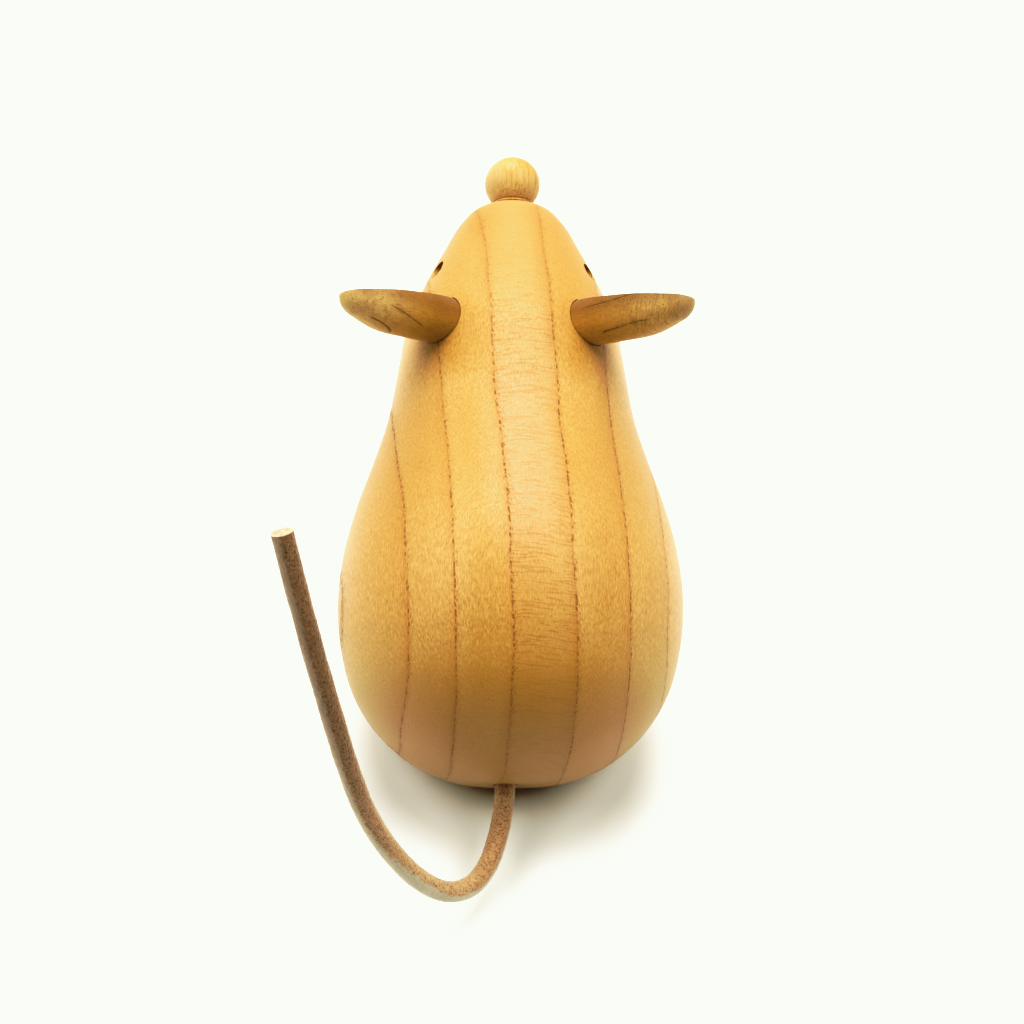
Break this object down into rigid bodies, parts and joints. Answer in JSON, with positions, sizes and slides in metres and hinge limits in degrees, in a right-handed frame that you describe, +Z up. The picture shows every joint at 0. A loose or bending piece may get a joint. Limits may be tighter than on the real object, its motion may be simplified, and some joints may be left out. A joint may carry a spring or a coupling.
{
  "type": "wooden mouse figurine",
  "caption": "Turned wooden mouse with a pear-shaped body on a flat cut, a ball nose, let-in wooden ears, drilled eyes and an upswept round leather tail.",
  "frame": {"origin": "on the flat underside, straight below the middle of the body's widest part", "axes": "+Z up, +Y the way the nose points, seen from above, +X to the figure's own right"},
  "size_m": [0.0678, 0.1255, 0.0814],
  "materials": {
    "body_wood": "oiled golden ring-porous wood, satin, with thin dark ring lines along the body",
    "nose_wood": "oiled golden wood, satin, fine grain along the axis",
    "ear_wood": "oiled wood, darker brown than the body, satin, with slanting ring lines",
    "tail_leather": "undyed round leather, matt, rough and fibrous, speckled brown"
  },
  "bodies": {
    "root": {"body": "body_wood", "nose": "nose_wood", "ear_left": "ear_wood", "ear_right": "ear_wood", "tail": "tail_leather"}
  },
  "joints": []
}
